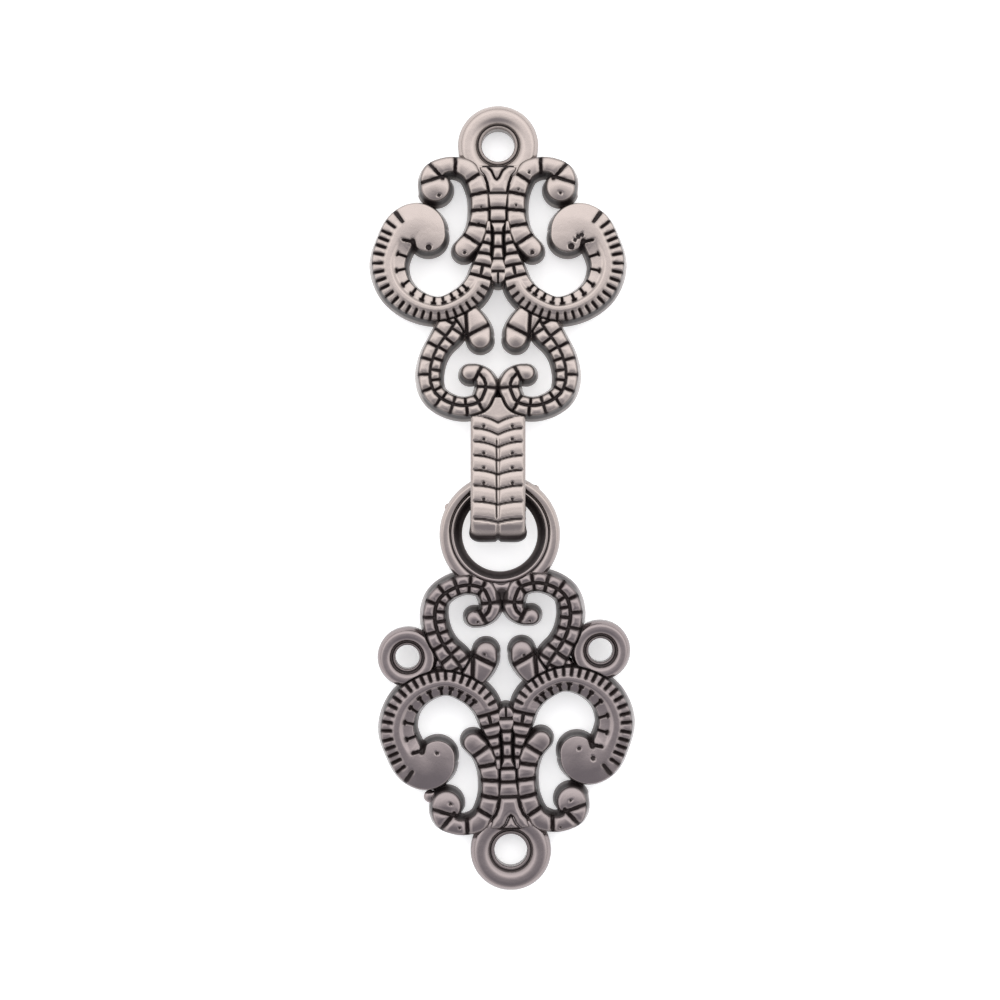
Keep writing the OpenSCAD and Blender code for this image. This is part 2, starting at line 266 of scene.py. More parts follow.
class ClaspHookSizes(bpy.types.PropertyGroup):
    """Sizes of the hook's strap, bend and tongue."""

    strap_w: length("Strap width", "Width of the hook's strap", 4.2)
    strap_t: length("Strap thickness", "Thickness of the strap and the bend", 1.2)
    tongue_t: length("Tongue thickness", "Thickness of the tongue under the ring", 1.0)
    tongue_l: length("Tongue length", "From the end of the hook to the tip of its tongue", 7.15)
    throat: length("Throat", "Room for the ring between strap and tongue", 2.15)
    hook_end_y: length("Hook reach", "From the meeting curls to the end of the hook", 12.05)
    rib_first: length("First rib", "From the end of the hook to the first chevron groove", 1.65)
    rib_pitch: length("Rib pitch", "Distance between chevron grooves at the end of the hook", 1.3)


def sizes_of(*groups):
    """The values of property groups in millimetres, under their own names."""
    found = {}
    for group in groups:
        for name, prop in group.bl_rna.properties.items():
            if prop.type == "FLOAT":
                found[name] = getattr(group, name) / MM
    return SimpleNamespace(**found)


class Band:
    """A band of the scrollwork: a smooth line of points with a half width and a heading at each."""

    def __init__(self, rows, sizes):
        """Draws the line through the rows and sets its points one pitch apart."""
        half_w = sizes.scroll_w / 2
        keys = np.array(rows) * (half_w, sizes.scroll_h, half_w / 2)
        keys = np.vstack([2 * keys[0] - keys[1], keys, 2 * keys[-1] - keys[-2]])
        t = np.linspace(0, 1, 24, endpoint=False)[:, None]
        a, b, c, d = (keys[k:len(keys) - 3 + k, None] for k in range(4))
        square, cube = 2 * a - 5 * b + 4 * c - d, 3 * b - a - 3 * c + d
        line = 0.5 * (2 * b + (c - a) * t + square * t**2 + cube * t**3)
        line = np.vstack([line.reshape(-1, 3), keys[-2]])
        run = np.concatenate([[0], np.cumsum(np.hypot(*np.diff(line[:, :2], axis=0).T))])
        count = max(int(round(run[-1] / sizes.pitch)), 8) + 1
        at = np.linspace(0, run[-1], count)
        line = np.stack([np.interp(at, run, column) for column in line.T], axis=1)
        self.points, self.half = line[:, :2], line[:, 2]
        self.share = at / run[-1]
        way = np.gradient(self.points, axis=0)
        self.heading = way / np.hypot(*way.T)[:, None]
        turn = np.unwrap(np.arctan2(self.heading[:, 1], self.heading[:, 0]))
        bend = np.pad(np.gradient(turn, at), 4, mode="edge")
        self.bend = np.convolve(bend, np.full(9, 1 / 9), mode="valid")

    def place(self, share, v):
        """The point at a share of the length, from the right edge at v = -1 to the left edge at v = 1."""
        columns = (*self.points.T, *self.heading.T, self.half)
        x, y, hx, hy, half = [np.interp(share, self.share, column) for column in columns]
        return np.stack([x - hy * v * half, y + hx * v * half], axis=-1)

    def measure(self, xy):
        """For points of the plan: depth inside, share of the way out, side and share of the run."""
        off = xy[:, None] - self.points[None]
        far = np.hypot(off[..., 0], off[..., 1])
        inside = self.half[None] - far
        k, n = inside.argmax(axis=1), np.arange(len(xy))
        side = self.heading[k, 0] * off[n, k, 1] - self.heading[k, 1] * off[n, k, 0]
        return inside[n, k], far[n, k] / self.half[k], side / self.half[k], self.share[k]


def smooth(low, high, x):
    """Rises smoothly from 0 at low to 1 at high."""
    t = np.clip((x - low) / (high - low), 0, 1)
    return t * t * (3 - 2 * t)


def across(band, shares, v0, v1, lean=0.0, width=1.0):
    """Grooves across a band at the given shares of its length, from v0 to v1 of its half width."""
    strokes = []
    for share in shares:
        a, b = band.place(np.array([share - lean, share + lean]), np.array([v0, v1]))
        strokes.append((a, b, width))
    return strokes


def along(band, s0, s1, v, width=1.0):
    """A groove along a band at v of its half width."""
    line = band.place(np.linspace(s0, s1, 30), v)
    return [(p, q, width) for p, q in zip(line[:-1], line[1:])]


def engrave(xy, strokes, sizes):
    """How deep the strokes cut each point of the plan, from 0 to 1, and how far off they are."""
    if not strokes:
        return np.zeros(len(xy)), np.full(len(xy), 9.0)
    a, b, wide = (np.array([stroke[k] for stroke in strokes]) for k in range(3))
    way = b - a
    t = ((xy[:, None] - a) * way).sum(-1) / np.maximum((way**2).sum(-1), 1e-9)
    near = a + np.clip(t, 0, 1)[..., None] * way
    half = wide * sizes.groove_w / 2
    far = np.hypot(*np.moveaxis(xy[:, None] - near, -1, 0))
    channel = np.clip(1 - (far / half) ** 2, 0, 1) ** 1.2 * np.sqrt(np.minimum(wide, 1))
    return channel.max(axis=1), np.maximum(far - half, 0).min(axis=1)


def tarnish(cut, past):
    """Patina that fills the grooves and thins out just past their edges."""
    return np.clip(smooth(0.02, 0.35, cut) + 0.4 * np.exp(-past / 0.06), 0, 1)


def sunk_under(inside):
    """How far a face sinks where another band lies over it, and how much darker it turns along that band."""
    return 0.6 * smooth(-0.14, 0.0, inside), smooth(-0.2, -0.06, inside)


def face_of(
    band, sizes, strokes=(), level=0.0, dome=None, ridge=None, cells_to=1.0, under=(), dark=0.0, edge_w=None
):
    """A function that gives the height of a band's face at points of the plan, and its patina with painted
    shade on the rounded edges.
    """
    edge_w = edge_w or min(sizes.edge_w, 0.6 * band.half.min())
    top = sizes.plate_t - sizes.crown + level

    def face(xy):
        inside, out, side, share = band.measure(xy)
        edge = np.clip(1 - inside / edge_w, 0, 1)
        z = top + sizes.crown * (1 - out**2) - sizes.edge_d * (1 - np.sqrt(1 - edge**2))
        if dome:
            rise, where, reach = dome
            head = np.hypot(*(xy - band.place(where, 0)).T) / (reach * band.half[-1])
            z += rise * np.clip(1 - head**2, 0, 1) ** 1.5
        cut, past = engrave(xy, strokes, sizes)
        pillow = sizes.pillow * (1 - smooth(0.9 * cells_to, 1.1 * cells_to, share))
        z += pillow * (smooth(-0.05, 0.3, past) - 1) * (edge < 1)
        if ridge:
            z -= ridge(side, share)
        z -= sizes.groove_d * cut
        # Patina of the grooves, and painted shade that darkens the rounded edge of the band
        patina = dark + tarnish(cut, past) + 0.7 * smooth(0.25, 1, edge)
        for cover in under:
            drop, crease_dark = sunk_under(cover.measure(xy)[0])
            z -= drop
            patina += crease_dark
        return z, np.clip(patina, 0, 1)

    return face, top - sizes.edge_d


def mesh_of(name, bm):
    """The mesh that a bmesh holds, which is freed."""
    mesh = bpy.data.meshes.new(name)
    bm.to_mesh(mesh)
    bm.free()
    return mesh


def ring_mesh(name, grid):
    """A closed mesh from rings of points, whose first and last rings have closed to a line or a point."""
    rings, around = grid.shape[:2]
    bm = bmesh.new()
    bmesh.ops.create_grid(bm, x_segments=around, y_segments=rings - 1, size=1)
    wrapped = np.concatenate([grid, grid[:, :1]], axis=1).reshape(-1, grid.shape[2])
    patina = bm.verts.layers.float.new("patina")
    for vert, values in zip(bm.verts, wrapped.tolist()):
        vert.co = values[:3]
        vert[patina] = values[3]
    bmesh.ops.remove_doubles(bm, verts=bm.verts, dist=1e-4)
    bmesh.ops.recalc_face_normals(bm, faces=bm.faces)
    return mesh_of(name, bm)


def band_shell(name, band, sizes, face, edge_z, samples=22):
    """The closed shell of one band: its face, a rounded edge, walls with draft and a flat back."""
    s = np.linspace(-1, 1, samples)
    walls = (
        (0.1, edge_z - 0.2, 1.0),
        (0.42, 0.6 * edge_z, 1.0),
        (0.6, 0.45 * edge_z, 0.65),
        (0.95, 0.3, 0.5),
        (1.0, 0.15, 0.9),
        (0.9, 0.0, 1.0),
    )
    left = [(1.0, out * sizes.draft, z, dark) for out, z, dark in walls]
    back = [(t, 0.9 * sizes.draft, 0.0, 0.3) for t in (0.5, 0.0, -0.5)]
    columns = left + back + [(-t, out, z, dark) for t, out, z, dark in left[::-1]]
    side = np.concatenate([0.5 * (s + np.sin(s * math.pi / 2)), [c[0] for c in columns]])
    out = np.concatenate([np.zeros(samples), [c[1] for c in columns]])
    counts = [max(int(1.6 * half / sizes.pitch), 5) for half in band.half[[0, -1]]]
    arcs = [np.linspace(0, math.pi / 2, count + 1)[1:] for count in counts]
    last = len(band.points) - 1
    k = np.concatenate([np.zeros(len(arcs[0]), int), np.arange(last + 1), np.full(len(arcs[1]), last)])
    turn = np.concatenate([-arcs[0][::-1], np.zeros(last + 1), arcs[1]])[:, None]
    reach = band.half[k][:, None] + out
    offset = side * reach * np.cos(turn)
    bend = np.where(turn == 0, band.bend[k][:, None], 0)
    room = 1 / np.maximum(np.abs(bend), 1e-6)
    past = np.abs(offset) / room - BEND_FREE
    eased = np.sign(offset) * room * (BEND_FREE + BEND_EASE * (1 - np.exp(-np.maximum(past, 0) / BEND_EASE)))
    offset = np.where((offset * bend > 0) & (past > 0), eased, offset)
    h = band.heading[k][:, None]
    n = np.stack([-h[..., 1], h[..., 0]], axis=-1)
    xy = band.points[k][:, None] + h * (reach * np.sin(turn))[..., None] + n * offset[..., None]
    grid = np.zeros((len(k), len(side), 4))
    grid[..., :2] = xy
    z, patina = face(xy[:, :samples].reshape(-1, 2))
    grid[:, :samples, 2] = z.reshape(len(k), samples)
    grid[:, :samples, 3] = patina.reshape(len(k), samples)
    grid[:, samples:, 2] = [c[2] for c in columns]
    # Wall patina, with painted shade that makes the walls facing the middle of the clasp darker
    outward = xy[:, samples:] - band.points[k][:, None]
    home = (0, CLASP_MIDDLE) - xy[:, samples:]
    lengths = np.hypot(*np.moveaxis(outward, -1, 0)) * np.hypot(*np.moveaxis(home, -1, 0))
    inward = (outward * home).sum(-1) / np.maximum(lengths, 1e-6)
    grid[:, samples:, 3] = np.array([c[3] for c in columns]) * (0.4 + 0.6 * smooth(-0.5, 0.2, inward))
    return ring_mesh(name, grid)


def fuse(name, first, *steps):
    """One mesh from a first mesh and steps of (operation, mesh), without the pieces that lie inside."""
    temporary = [bpy.data.objects.new(name, first)]
    for operation, mesh in steps:
        tool = bpy.data.objects.new(name, mesh)
        join = temporary[0].modifiers.new(operation, "BOOLEAN")
        join.operation, join.object, join.solver = operation, tool, "MANIFOLD"
        temporary.append(tool)
    for item in temporary:
        bpy.context.scene.collection.objects.link(item)
    shape = temporary[0].evaluated_get(bpy.context.evaluated_depsgraph_get())
    fused = bpy.data.meshes.new_from_object(shape)
    for item in temporary:
        bpy.data.objects.remove(item)
    return fused


def mirrored(mesh):
    """A copy of a mesh on the other side of the middle line."""
    bm = bmesh.new()
    bm.from_mesh(mesh)
    bmesh.ops.scale(bm, vec=(-1, 1, 1), verts=bm.verts)
    bmesh.ops.reverse_faces(bm, faces=bm.faces)
    return mesh_of(mesh.name, bm)


def stroke(sizes, *points, width=1.0):
    """A groove through points given as shares of the scrollwork's half width and of its length."""
    line = np.array(points) * (sizes.scroll_w / 2, sizes.scroll_h)
    return [(p, q, width) for p, q in zip(line[:-1], line[1:])]


def plate_sides(sizes):
    """The two grooves that part the stem's top plate from the horns."""
    right = ((0.165, 0.945), (0.155, 0.93), (0.138, 0.9), (0.105, 0.88), (0.084, 0.85), (0.068, 0.806))
    return stroke(sizes, *right, width=0.65) + stroke(sizes, *[(-x, y) for x, y in right], width=0.65)


def horn_shell(sizes):
    """The horn: thin grooves across a smooth band that rolls into a small dome."""
    band = Band(HORN_ROWS, sizes)
    strokes = across(band, (0.079, 0.193, 0.303, 0.421, 0.545, 0.715, 0.865, 0.94), -1.3, 0.9, 0.008, 0.85)
    strokes += plate_sides(sizes)
    return band_shell("horn", band, sizes, *face_of(band, sizes, strokes, dome=(0.1, 1.0, 0.9)))


def spiral_ridge(side, share):
    """How far the face of the big spiral lies below its ridge."""
    outer = 0.13 * smooth(0.12, 0.45, -side - 0.05) * (1 - smooth(0.8, 0.95, share))
    inner = 0.16 * smooth(0.15, 0.4, side + 0.05) * (1 - smooth(0.77, 0.86, share))
    return smooth(0.2, 0.3, share) * (outer + inner)


def spiral_shell(sizes):
    """The big spiral: cells, then a ridge between flutes and notches, and a large smooth head."""
    band = Band(SPIRAL_ROWS, sizes)
    strokes = across(band, (0.038, 0.08, 0.122, 0.167, 0.213), -1.3, 1.3, 0.0, 0.8)
    strokes += along(band, 0.175, 0.213, 0.0, 0.7)
    strokes += across(band, np.linspace(0.245, 0.855, 24), -0.95, -0.38, width=0.72)
    strokes += across(band, (0.884,), -0.98, -0.3, width=0.9)
    notches = (0.768, 0.685, 0.612, 0.556, 0.506, 0.453, 0.405, 0.362, 0.324, 0.29)
    strokes += across(band, notches, 0.42, 1.3, width=0.62)
    for share in notches:
        strokes += along(band, share - 0.007, share + 0.007, 0.42, 0.6)
    strokes += stroke(sizes, (0.632, 0.56), (0.652, 0.602), width=1.3)
    strokes += stroke(sizes, (0.66, 0.598), (0.722, 0.606), width=0.8)
    head = face_of(band, sizes, strokes, dome=(0.05, 0.93, 1.6), ridge=spiral_ridge, cells_to=0.23)
    return band_shell("spiral", band, sizes, *head, 34)


def bud_shell(sizes):
    """The bud between a spiral and a curl, with a small dome."""
    band = Band(BUD_ROWS, sizes)
    strokes = stroke(sizes, (0.25, 0.335), (0.236, 0.2), width=0.9)
    strokes += stroke(sizes, (0.24, 0.198), (0.07, 0.247), width=0.9)
    face = face_of(band, sizes, strokes, dome=(0.08, 1.0, 0.9), under=[Band(SPIRAL_ROWS, sizes)])
    return band_shell("bud", band, sizes, *face)


def curl_shell(sizes):
    """The small curl: an outer row of large cells and an inner row of small ones, and a small flat head."""
    band = Band(CURL_ROWS, sizes)
    outer = (0.055, 0.133, 0.211, 0.29, 0.371, 0.448, 0.526, 0.603, 0.681, 0.751, 0.852)
    inner = (0.078, 0.142, 0.206, 0.275, 0.343, 0.407, 0.471, 0.535, 0.603, 0.676, 0.754, 0.852)
    strokes = across(band, outer, -0.1, 1.3, width=0.75)
    strokes += across(band, inner, -1.3, -0.1, width=0.7)
    strokes += along(band, 0.0, 0.936, -0.08, 0.75)
    strokes += stroke(sizes, (0.125, 0.068), (0.19, 0.0), width=0.85)
    covers = [Band(rows, sizes) for rows in (SPIRAL_ROWS, BUD_ROWS)]
    face = face_of(band, sizes, strokes, dome=(0.06, 1.0, 1.0), under=covers)
    return band_shell("curl", band, sizes, *face, 30)


def stem_shell(sizes, loop_y, lip_r):
    """The stem: a plate with a notch against the loop's lip, two smaller plates and a column of beads."""
    band = Band(STEM_ROWS, sizes)
    strokes = []
    for y, half in STEM_GROOVES:
        strokes += stroke(sizes, (-half, y), (half, y), width=0.7)
    top = (loop_y - lip_r - 0.1) / sizes.scroll_h
    strokes += stroke(sizes, *[(x, top - drop) for x, drop in STEM_NOTCH], width=0.55)
    strokes += stroke(sizes, (-0.175, top - 0.003), (0.175, top - 0.003), width=0.6)
    round_lip = [(lip_r * math.sin(a), loop_y - lip_r * math.cos(a)) for a in np.linspace(-0.8, 0.8, 17)]
    strokes += [(np.array(a), np.array(b), 0.7) for a, b in zip(round_lip[:-1], round_lip[1:])]
    strokes += stroke(sizes, (0.0, 0.473), (0.0, 0.41), width=0.5) + plate_sides(sizes)
    stem = band_shell("stem", band, sizes, *face_of(band, sizes, strokes, edge_w=0.12), 60)
    return fuse("stem", stem, ("DIFFERENCE", top_cutter(loop_y - lip_r - 0.1)))


def eye_wedge_shell(sizes):
    """The low plate that fills the corner between the eye half's curls and its ring, coloured dark as painted
    shade for that low corner.
    """
    band = Band(EYE_WEDGE_ROWS, sizes)
    # Painted shade: the plate's face is darkened for the shade in this corner
    return band_shell("wedge", band, sizes, *face_of(band, sizes, level=-0.55, dark=0.7), 18)


def spun(name, profile, steps):
    """A closed mesh from a closed profile of (radius, height, patina), spun round the Z axis."""
    bm = bmesh.new()
    patina = bm.verts.layers.float.new("patina")
    verts = []
    for radius, height, mask in profile:
        vert = bm.verts.new((radius, 0, height))
        vert[patina] = mask
        verts.append(vert)
    edges = [bm.edges.new((a, b)) for a, b in zip(verts, verts[1:] + verts[:1])]
    bmesh.ops.spin(
        bm, geom=verts + edges, cent=(0, 0, 0), axis=(0, 0, 1), angle=math.tau, steps=steps, use_merge=True
    )
    bmesh.ops.recalc_face_normals(bm, faces=bm.faces)
    return mesh_of(name, bm)


def arc(cx, cz, rx, rz, start, end, count, mask):
    """Points of an elliptical arc in a profile, between two angles in degrees."""
    angles = np.radians(np.linspace(start, end, count))
    return [(cx + rx * math.cos(a), cz + rz * math.sin(a), mask) for a in angles]


def bar(inner, outer, top, inner_fall, outer_fall, count):
    """Points of a bar's rounded top in a profile, from its outer to its inner edge."""
    u = np.linspace(1, -1, count)
    radius = (outer + inner) / 2 + u * (outer - inner) / 2
    height = top - np.where(u > 0, outer_fall, inner_fall) * np.abs(u) ** 3
    mask = np.where(u > 0, 0.2 * smooth(0.85, 1, u), 0.5 * smooth(0.85, 1, -u))
    return list(zip(radius.tolist(), height.tolist(), mask.tolist()))


def loop_shell(outer_d, bore_d, lip_w, sizes):
    """A sewing loop: a round bar outside, a crease with patina, and a low dark lip round the bore."""
    outer, bore, t = outer_d / 2, bore_d / 2, sizes.loop_t
    crease = bore + lip_w
    profile = (
        arc(bore + 0.3, 0.3, 0.3, 0.3, 180, 270, 5, 0.5)
        + arc(outer - 0.5, 0.5, 0.5, 0.5, -90, -10, 6, 0.7)
        + bar(crease + 0.03, outer, t, 0.34, 0.55, 26)
        + [(crease + 0.01, t - 0.44, 1.0), (crease - 0.03, t - 0.46, 1.0), (crease - 0.08, t - 0.4, 0.4)]
        + arc(bore + 0.5 * lip_w, t - 0.55, 0.5 * lip_w, 0.17, 75, 180, 7, 0.3)
    )
    return spun("loop", profile, 144)


def ring_shell(sizes):
    """The eye ring: a round bar, a fine groove, a rim, and a wall that slopes into the opening, dark with
    patina and painted shade.
    """
    outer, hole, t = sizes.ring_d / 2, sizes.ring_hole_d / 2, sizes.ring_t
    rim = hole + 0.34 * (outer - hole)
    line = rim + 0.27
    profile = (
        [(hole, 0.3 * t, 0.35), (hole + 0.1, 0.0, 0.3)]
        + arc(outer - 0.4, 0.4, 0.4, 0.4, -90, -10, 5, 0.2)
        + bar(line + 0.05, outer, t, 0.14, 0.5, 22)
        + [(line + 0.02, t - 0.22, 1.0), (line - 0.02, t - 0.22, 1.0)]
        + [(line - 0.05, t - 0.16, 0.2), (line - 0.1, t - 0.13, 0.0), (rim + 0.06, t - 0.15, 0.0)]
        # Patina and painted shade: the wall into the opening is dark
        + [(rim, t - 0.22, 0.6), (rim - 0.08, t - 0.4, 1.0)]
        + [(rim - 0.26, 0.56 * t, 0.9), (hole + 0.1, 0.4 * t, 0.65)]
    )
    mesh = spun("ring", profile, 288)
    for vert in mesh.vertices:
        vert.co.y -= 0.14 * vert.co.z / t * smooth(line + 0.5, rim, math.hypot(vert.co.x, vert.co.y))
    return mesh


def rib_y(k, sizes):
    """Where a chevron groove of the strap lies, counted from the end of the hook."""
    return sizes.rib_first - sizes.hook_end_y + sizes.rib_pitch * k * (1 - 0.02 * k)


def strap_relief(xy, sizes):
    """Height and patina of the strap's ribs, which overlap like shingles beside a thin middle rib."""
    x, y = np.abs(xy[:, 0]), xy[:, 1]
    reach = smooth(0.47 * sizes.strap_w, 0.42 * sizes.strap_w, x)
    arm = np.clip(x / (0.45 * sizes.strap_w), 0, 1)
    first = rib_y(0, sizes)
    z, patina = np.zeros(len(y)), np.zeros(len(y))
    near = np.full(len(y), 9.0)
    for k in range(8):
        drop = 0.2 + 0.05 * k
        line = rib_y(k, sizes) + drop * (2 * arm - arm**2 - 0.9)
        past = y - line
        near = np.minimum(near, np.abs(past))
        groove = reach * np.clip(1 - (past / 0.11) ** 2, 0, 1)
        z -= 0.14 * groove - 0.04 * reach * np.exp(-np.maximum(past, 0) / 0.5) * (past > 0)
        patina = np.maximum(patina, 0.85 * smooth(0.1, 0.8, groove))
    last = first + 4.5 * sizes.rib_pitch
    spine = smooth(first - 0.1, first + 0.1, y) * smooth(last + 0.4, last, y)
    upright = spine * np.clip(1 - ((x - 0.12) / 0.08) ** 2, 0, 1) * np.where(xy[:, 0] < 0, 1.0, 0.5)
    z -= 0.12 * upright
    patina = np.maximum(patina, 0.8 * smooth(0.1, 0.9, upright))
    z += 0.05 * reach * (smooth(0, 0.5, near) - 1)
    bottom = first - 0.35
    dent = np.clip(1 - (x / 0.16) ** 2, 0, 1) * smooth(bottom + 0.2, bottom - 0.1, y)
    quarter = 0.25 * sizes.strap_w
    lobe = np.clip(1 - ((x - quarter) / quarter) ** 2, 0, 1) * smooth(first, bottom, y)
    return z - 0.12 * dent + 0.05 * lobe, np.maximum(patina, 0.4 * dent)


def strap_pits(sizes):
    """Pits of the strap, one on each arm of its lower ribs."""
    x = 0.26 * sizes.strap_w / (sizes.scroll_w / 2)
    rows = []
    for k in range(1, 7):
        y = (rib_y(k, sizes) + 0.2) / sizes.scroll_h
        rows += [(-x, y, 0.15), (x, y, 0.15)]
    return rows


def hook_path(sizes):
    """Side view of the hook's middle line, from its root to its tip, as rows of (y, z, angle)."""
    low = sizes.plate_t - sizes.strap_t
    strap_z = low + sizes.strap_t / 2
    tongue_z = low - sizes.throat - sizes.tongue_t / 2
    bend_r = 1.15
    bend_y = sizes.strap_t / 2 + bend_r - sizes.hook_end_y
    tip_y = sizes.tongue_l - sizes.hook_end_y
    root_y = -0.06 * sizes.scroll_h
    legs = [
        ((root_y, strap_z), (bend_y, strap_z), 0),
        ((bend_y, strap_z - bend_r), None, 0),
        ((bend_y - bend_r, strap_z - bend_r), (bend_y - bend_r, tongue_z + bend_r), 90),
        ((bend_y, tongue_z + bend_r), None, 90),
        ((bend_y, tongue_z), (tip_y, tongue_z), 180),
    ]
    path = []
    for start, end, degrees in legs:
        if end is None:
            for angle in np.radians(np.linspace(degrees, degrees + 90, 28)):
                path.append((start[0] - bend_r * math.sin(angle), start[1] + bend_r * math.cos(angle), angle))
        else:
            steps = max(int(math.dist(start, end) / sizes.pitch), 2)
            for share in np.linspace(0, 1, steps + 1)[1:-1]:
                y, z = np.array(start) + share * (np.array(end) - start)
                path.append((y, z, math.radians(degrees)))
    return np.array(path)


def hook_shell(sizes):
    """The strap, the bend and the tongue, swept as a flat bar with rounded edges."""
    y, z, angle = hook_path(sizes).T
    run = np.concatenate([[0], np.cumsum(np.hypot(np.diff(y), np.diff(z)))])
    strap, tongue = sizes.strap_t / 2, sizes.tongue_t / 2
    half_t = np.interp(run, (0, run[-1] * 0.6, run[-1]), (strap, strap, tongue))
    taper = np.clip((run[-1] - run) / 0.45, 0, 1)
    taper = np.sqrt(1 - (1 - taper) ** 2)
    turned = smooth(0.3, 1.4, angle) * (1 - smooth(1.9, 2.8, angle))
    half_w = sizes.strap_w / 2 - 0.4 * (1 - taper) + 0.12 * turned
    half_t = half_t * np.maximum(taper, 0.25)
    corner, corner_w = 0.3 + 0.25 * turned, 0.3 + 0.5 * turned
    tops = 58
    s = np.concatenate([np.linspace(-1, 1, tops), np.linspace(1, -1, 12)])
    up = np.where(np.arange(len(s)) < tops, 1.0, -1.0)
    half = sizes.strap_w / 2
    edge = np.clip((np.abs(s)[None] * half - half + corner_w[:, None]) / corner_w[:, None], 0, 1)
    out = up * (half_t[:, None] - corner[:, None] * (1 - np.sqrt(1 - edge**2)))
    x = s[None] * half_w[:, None]
    bent = np.argmax(angle > 0)
    plan_y = np.where(angle > 0, y[bent] - (run - run[bent]), y)
    points = np.stack([x, np.broadcast_to(plan_y[:, None], x.shape)], axis=-1)[:, :tops]
    relief, patina = (v.reshape(-1, tops) for v in strap_relief(points.reshape(-1, 2), sizes))
    beside = points.reshape(-1, 2).copy()
    beside[:, 0] = np.abs(beside[:, 0])
    inside = Band(CURL_ROWS, sizes).measure(beside)[0].reshape(-1, tops)
    sunk, crease_dark = sunk_under(inside)
    plate = smooth(-0.15, -0.135, y / sizes.scroll_h)[:, None]
    crown = 0.06 * (1 - s[:tops] ** 2)[None] * (angle < 1)[:, None]
    out[:, :tops] += crown + relief * (1 - plate) - sunk - 0.04
    patina = np.maximum(patina * (1 - plate), crease_dark)
    grid = np.zeros((len(y), len(s), 4))
    grid[..., 0] = x
    grid[..., 1] = y[:, None] - out * np.sin(angle)[:, None]
    grid[..., 2] = z[:, None] + out * np.cos(angle)[:, None]
    # Painted shade: the bend, the backs of strap and tongue inside the throat, and the strap's rounded edges
    # are darkened
    under = 0.95 * (smooth(0.6, 1.0, angle) * (1 - smooth(1.9, 2.8, angle)))[:, None]
    grid[..., 3] = np.maximum(under, np.where(up < 0, 0.5, 0.25 * edge))
    grid[:, :tops, 3] = np.maximum(grid[:, :tops, 3], patina)
    ends = np.zeros((2, 1, len(s), 4))
    ends[0, 0, :, 1:3] = y[0], z[0]
    ends[1, 0, :, 1:3] = y[-1], z[-1]
    return ring_mesh("hook", np.concatenate([ends[0], grid, ends[1]]))


def top_cutter(y):
    """A block that clears everything past a line across the stem."""
    bm = bmesh.new()
    bm.verts.layers.float.new("patina")
    bmesh.ops.create_cube(bm, size=CUTTER)
    bmesh.ops.translate(bm, vec=(0, y + CUTTER / 2, 0), verts=bm.verts)
    return mesh_of("cutter", bm)


def bore_cutter(x, y, radius):
    """A round punch that clears the scrollwork away from a bore."""
    bm = bmesh.new()
    bm.verts.layers.float.new("patina")
    bmesh.ops.create_cone(bm, cap_ends=True, segments=96, radius1=radius, radius2=radius, depth=CUTTER)
    bmesh.ops.translate(bm, vec=(x, y, 0), verts=bm.verts)
    return mesh_of("cutter", bm)


def moved(mesh, x, y):
    """The mesh, moved over the plan."""
    mesh.transform(Matrix.Translation((x, y, 0)))
    return mesh


def tucked(mesh, x, y, lip_r, sizes):
    """A side loop, moved over the plan, whose bar sinks where the scrollwork lies over it."""
    moved(mesh, x, y)
    points = np.array([vert.co for vert in mesh.vertices])
    far = np.hypot(points[:, 0] - x, points[:, 1] - y)
    bar_only = smooth(lip_r, lip_r + 0.06, far) * (points[:, 2] > sizes.loop_t / 2)
    patina = mesh.attributes["patina"].data
    beside = np.stack([np.abs(points[:, 0]), points[:, 1]], axis=1)
    for rows in (SPIRAL_ROWS, CURL_ROWS):
        drop, crease_dark = sunk_under(Band(rows, sizes).measure(beside)[0])
        for vert, down, dark in zip(mesh.vertices, drop * bar_only, crease_dark * bar_only):
            vert.co.z -= down
            patina[vert.index].value = max(patina[vert.index].value, dark)
    return mesh


def half_scroll(sizes):
    """The bands on one side of the middle line, fused."""
    bands = [("UNION", make(sizes)) for make in (spiral_shell, bud_shell, curl_shell)]
    return fuse("scroll", horn_shell(sizes), *bands)


def pitted(mesh, places, sizes, depth=0.8, dark=1.0):
    """Sinks pits into a casting's faces at rows of (x, y, radius), as deep as a share of the radius."""
    count = len(mesh.vertices)
    points, patina = np.empty(count * 3), np.empty(count)
    mesh.vertices.foreach_get("co", points)
    mesh.attributes["patina"].data.foreach_get("value", patina)
    points = points.reshape(-1, 3)
    for x, y, radius in places:
        far = np.hypot(points[:, 0] - x * sizes.scroll_w / 2, points[:, 1] - y * sizes.scroll_h) / radius
        near = np.clip(1 - far**3, 0, 1) * (points[:, 2] > sizes.plate_t / 2)
        points[:, 2] -= depth * radius * near
        patina = np.maximum(patina, dark * smooth(0.05, 0.5, near))
    mesh.vertices.foreach_set("co", points.ravel())
    mesh.attributes["patina"].data.foreach_set("value", patina)
    return mesh


def burr(x, y, z, radius, flat, sizes):
    """A lump of metal that the casting kept at its edge, as wide as its radius says and flattened."""
    bm = bmesh.new()
    bm.verts.layers.float.new("patina")
    bmesh.ops.create_icosphere(bm, subdivisions=3, radius=radius)
    bmesh.ops.scale(bm, vec=(1, 1, flat), verts=bm.verts)
    bmesh.ops.translate(bm, vec=(x * sizes.scroll_w / 2, y * sizes.scroll_h, z), verts=bm.verts)
    return mesh_of("burr", bm)


def place(mount, across_axis, local):
    """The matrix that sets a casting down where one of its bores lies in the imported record."""
    up = Vector(mount["axis"]).normalized()
    right = (across_axis - up * across_axis.dot(up)).normalized()
    turn = Matrix((right, up.cross(right), up)).transposed()
    shift = Vector(mount["pos_m"]) - turn @ (Vector(local) * MM)
    return Matrix.Translation(shift) @ turn.to_4x4() @ Matrix.Scale(MM, 4)


